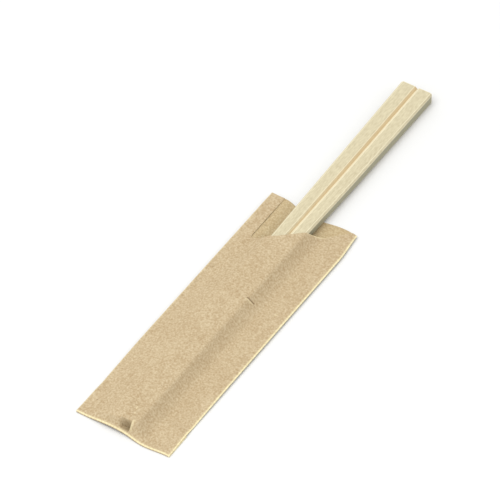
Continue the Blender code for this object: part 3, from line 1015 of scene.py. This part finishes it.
# %% [markdown]
# ## The sticks
#
# Their solid has the right form, so a copy of it is made finer, not modelled again: it is merged,
# sliced along its length, and its sharp edges are rounded. Three small things that the solid
# leaves out are added: the left stick is a little wider than the right, the edges waver where the
# blade wandered, and the butts' outer corners are rounded.

# %% Slice the sticks and widen the left one
SLICE_PITCH = 3 * MM
SLICES = int(PAIR_LENGTH / SLICE_PITCH)
LEFT_EXTRA_WIDTH = 0.3 * MM
EXTRA_START, EXTRA_RUN = 100 * MM, 35 * MM
WAVER_DEPTH, WAVER_LENGTH = 0.03 * MM, 9 * MM


def slice_along(shape):
    for n in range(1, SLICES):
        every = shape.verts[:] + shape.edges[:] + shape.faces[:]
        middle = (0.0, PAIR_BUTT - n * SLICE_PITCH, 0.0)
        bmesh.ops.bisect_plane(shape, geom=every, plane_co=middle, plane_no=(0.0, 1.0, 0.0))


def widen_and_waver(shape):
    """Moves points sideways, starting within the mouth and growing towards the butts."""
    for vert in shape.verts:
        y = vert.co.y - SLEEVE_FOOT
        half = pair_half_width(y)
        off = vert.co.x - pair_centre(y)
        share = min(max((off + half) / half, 0.0), 1.0)
        free = min(max((y - EXTRA_START) / EXTRA_RUN, 0.0), 1.0)
        waver = noise_at(Vector((vert.co.x / WAVER_LENGTH, y / WAVER_LENGTH, 0.0))) * WAVER_DEPTH
        vert.co.x += (LEFT_EXTRA_WIDTH * share + waver) * free * free * (3 - 2 * free)


print("the sticks are cut across", SLICES - 1, "times,", in_mm(SLICE_PITCH), "mm apart")

# %% Mark the facets by how they were cut, with painted shade and highlight
END_TILT = 0.1
SLANT_LEAST, SLANT_MOST = 0.3, 0.85
GROOVE_REACH = GROOVE_DEPTH * 1.5
CHAMFER_HIGHLIGHT = 0.35


def off_centre(place):
    """How far a point is from the line between the sticks."""
    return abs(place.x - pair_centre(place.y - SLEEVE_FOOT))


def mark_facets(shape):
    """Marks each corner of each face by the way the face was cut, from the way it faces; the sawn
    sides and the groove's right-facing facet get painted shade, the left-facing facets painted
    highlight.
    """
    layers = {name: shape.loops.layers.float.new(name) for name in FACET_TONES}
    shape.normal_update()
    for face in shape.faces:
        sideways, at_end = face.normal.x, abs(face.normal.y) > END_TILT
        slanted = SLANT_LEAST < abs(sideways) < SLANT_MOST and not at_end
        in_groove = slanted and off_centre(face.calc_center_median()) < GROOVE_REACH
        deepest = min(off_centre(vert.co) for vert in face.verts)
        # Painted highlight on left-facing facets: all of the groove's, part of the left chamfer.
        highlight_share = 1.0 if in_groove else CHAMFER_HIGHLIGHT
        for loop in face.loops:
            reach = off_centre(loop.vert.co) - deepest
            depth = 1.0 - min(reach / GROOVE_DEPTH, 1.0)
            loop[layers["end"]] = float(at_end)
            # Sawn sides: duller wood and painted shade.
            loop[layers["sawn"]] = float(abs(sideways) > SLANT_MOST and not at_end)
            # Painted shade on the groove's right-facing facet, darkest at its bottom.
            loop[layers["groove"]] = depth if in_groove and sideways > 0.0 else 0.0
            loop[layers["edge"]] = highlight_share if slanted and sideways < 0.0 else 0.0
    return layers


# %% Round the edges and the butts' corners
EDGE_ROUNDING = 0.14 * MM
EDGE_SEGMENTS = 2
SHARP_ANGLE = math.radians(24)
CORNER_ROUNDING = {-1: 0.4 * MM, 1: 0.8 * MM}
CORNER_FACETS = 5
BUTT_SLACK = 0.4 * MM


def round_edges(shape, edge_layer):
    sharp = [e for e in shape.edges if e.calc_face_angle(0.0) > SHARP_ANGLE]
    made = bmesh.ops.bevel(
        shape, geom=sharp, offset=EDGE_ROUNDING, segments=EDGE_SEGMENTS, profile=HALF,
        affect="EDGES", clamp_overlap=True,
    )
    # The rounded edges are painted pale: furry wood and painted highlight.
    for face in made["faces"]:
        for loop in face.loops:
            loop[edge_layer] = 1.0


def round_corners(shape, end_layer):
    """Cuts the butts' outer corners off with a few planes that touch a quarter circle."""
    limit = max(vert.co.y for vert in shape.verts) - BUTT_SLACK
    for side, radius in CORNER_ROUNDING.items():
        butt = [vert.co for vert in shape.verts if vert.co.y > limit]
        outermost = max(place.x * side for place in butt)
        butt_y = max(place.y for place in butt if place.x * side > outermost - radius)
        centre = Vector(((outermost - radius) * side, butt_y - radius, 0.0))
        for n in range(CORNER_FACETS):
            angle = QUARTER_TURN * (n + HALF) / CORNER_FACETS
            outward = Vector((math.sin(angle) * side, math.cos(angle), 0.0))
            every = shape.verts[:] + shape.edges[:] + shape.faces[:]
            made = bmesh.ops.bisect_plane(
                shape, geom=every, plane_co=centre + outward * radius, plane_no=outward,
                clear_outer=True,
            )
            cut = [part for part in made["geom_cut"] if isinstance(part, bmesh.types.BMEdge)]
            for face in bmesh.ops.contextual_create(shape, geom=cut)["faces"]:
                for loop in face.loops:
                    loop[end_layer] = 1.0


# %% [markdown]
# Planing aspen lifts a few thin slivers along the edge of the chamfer. They repeat along a line, so
# Geometry Nodes place them: points on the edge, shifted a little at random, each with a slim cone
# turned along the grain. The wood itself goes through the same tree, so that the slivers become
# part of its mesh.

# %% Slivers along an edge
SLIVERS = {"count": 26, "length": 0.9 * MM, "thickness": 0.05 * MM, "seed": 4}
SLIVER_SIDES = 5
SLIVER_POINT_SHARE = 0.2
SLIVER_START_Y, SLIVER_END_Y = 122 * MM, 180 * MM
SLIVER_SHIFT = (0.06 * MM, 1.6 * MM, 0.03 * MM)
SLIVER_TILT, SLIVER_TURN = 0.10, 0.22


def edge_point(y):
    """A point on the upper edge of the right chamfer."""
    x = pair_centre(y) + pair_half_width(y) + LEFT_EXTRA_WIDTH - EDGE_CHAMFER
    return (x, y + SLEEVE_FOOT, pair_top(y) - EDGE_ROUNDING)


def sliver_tree(values):
    tree, wood, s = open_tree("edge_slivers", values)
    least_shift = tuple(-c for c in SLIVER_SHIFT)
    least_turn = (-QUARTER_TURN - SLIVER_TILT, 0.0, -SLIVER_TURN)
    most_turn = (-QUARTER_TURN + SLIVER_TILT, 0.0, SLIVER_TURN)
    shift, turn = [
        add_node(tree, "FunctionNodeRandomValue", {"Min": low, "Max": high, "Seed": seed},
                 data_type="FLOAT_VECTOR").outputs[0]
        for low, high, seed in ((least_shift, SLIVER_SHIFT, s.seed),
                                (least_turn, most_turn, s.seed + 1))
    ]
    first, last = edge_point(SLIVER_START_Y), edge_point(SLIVER_END_Y)
    ends = {"Count": s.count, "Start Location": first, "Offset": last}
    line = add_node(tree, "GeometryNodeMeshLine", ends, mode="END_POINTS").outputs[0]
    points = add_node(tree, "GeometryNodeSetPosition", {"Geometry": line, "Offset": shift})
    cone = add_node(tree, "GeometryNodeMeshCone", {
        "Vertices": SLIVER_SIDES, "Radius Top": s.thickness * SLIVER_POINT_SHARE,
        "Radius Bottom": s.thickness, "Depth": s.length,
    })
    copies = add_node(tree, "GeometryNodeInstanceOnPoints", {
        "Points": points.outputs[0], "Instance": cone.outputs[0], "Rotation": turn,
    })
    joined = add_node(tree, "GeometryNodeJoinGeometry")
    for part in (copies.outputs[0], wood):
        tree.links.new(part, joined.inputs[0])
    close_tree(tree, joined.outputs[0], s.material)
    return tree


# %% Make the sticks
MERGE_DISTANCE = 0.001 * MM
FLAT_ANGLE = math.radians(1)


def fine_sticks():
    shape = bmesh.new()
    shape.from_mesh(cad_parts["chopstick_pair"].data)
    bmesh.ops.remove_doubles(shape, verts=shape.verts, dist=MERGE_DISTANCE)
    bmesh.ops.dissolve_limit(shape, angle_limit=FLAT_ANGLE, verts=shape.verts, edges=shape.edges)
    slice_along(shape)
    widen_and_waver(shape)
    layers = mark_facets(shape)
    round_edges(shape, layers["edge"])
    round_corners(shape, layers["end"])
    bmesh.ops.recalc_face_normals(shape, faces=shape.faces)
    mesh = bpy.data.meshes.new("fine_sticks")
    shape.to_mesh(mesh)
    shape.free()
    mesh.materials.clear()
    return mesh


def make_pair():
    values = {**SLIVERS, "material": planed_aspen()}
    mesh = plain_mesh(run_tree(sliver_tree(values), values, fine_sticks()))
    mesh.shade_smooth()
    mesh.set_sharp_from_angle(angle=SMOOTH_ANGLE)
    pair = add_object("aspen_chopsticks", mesh)
    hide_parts("chopstick_pair")
    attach(pair, "root")
    return pair


pair = make_pair()
print("pair:", len(pair.data.polygons), "faces")
